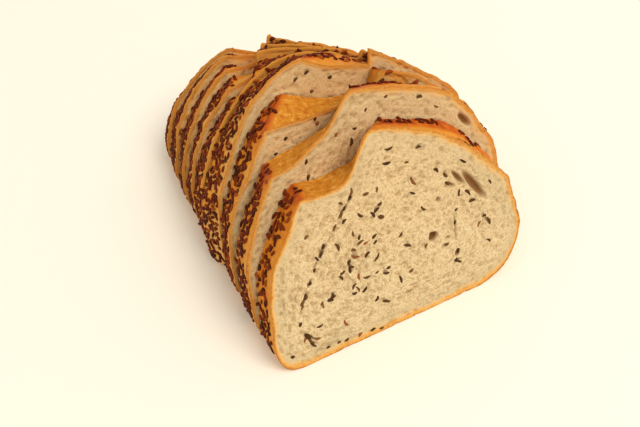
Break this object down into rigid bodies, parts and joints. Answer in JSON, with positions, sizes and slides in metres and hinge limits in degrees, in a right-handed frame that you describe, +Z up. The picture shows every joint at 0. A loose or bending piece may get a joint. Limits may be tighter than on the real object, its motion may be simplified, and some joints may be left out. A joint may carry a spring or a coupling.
{
  "type": "rye bread loaf",
  "caption": "Part of a slashed caraway rye hearth loaf, cut into slices that stand fanned out, with a rounded heel behind and seeds baked onto the crust.",
  "frame": {"origin": "under the middle of the loaf, on the table that it stands on", "axes": "+Z up, +Y from the cut face of the front slice towards the heel, +X to the right of someone looking at that cut face"},
  "size_m": [0.1552, 0.18, 0.0986],
  "materials": {
    "bread": "matte rye crumb, cut face, with a browned crust strip and caraway seeds",
    "crust": "satin baked crust, golden to dark brown, dusted with caraway seeds",
    "seed": "dark brown toasted caraway seed"
  },
  "bodies": {
    "root": {"slice_1": "bread", "slice_2": "bread", "slice_3": "bread", "slice_4": "bread", "slice_5": "bread", "slice_6": "bread", "slice_7": "bread", "slice_8": "bread", "heel_slice": "crust"}
  },
  "joints": []
}
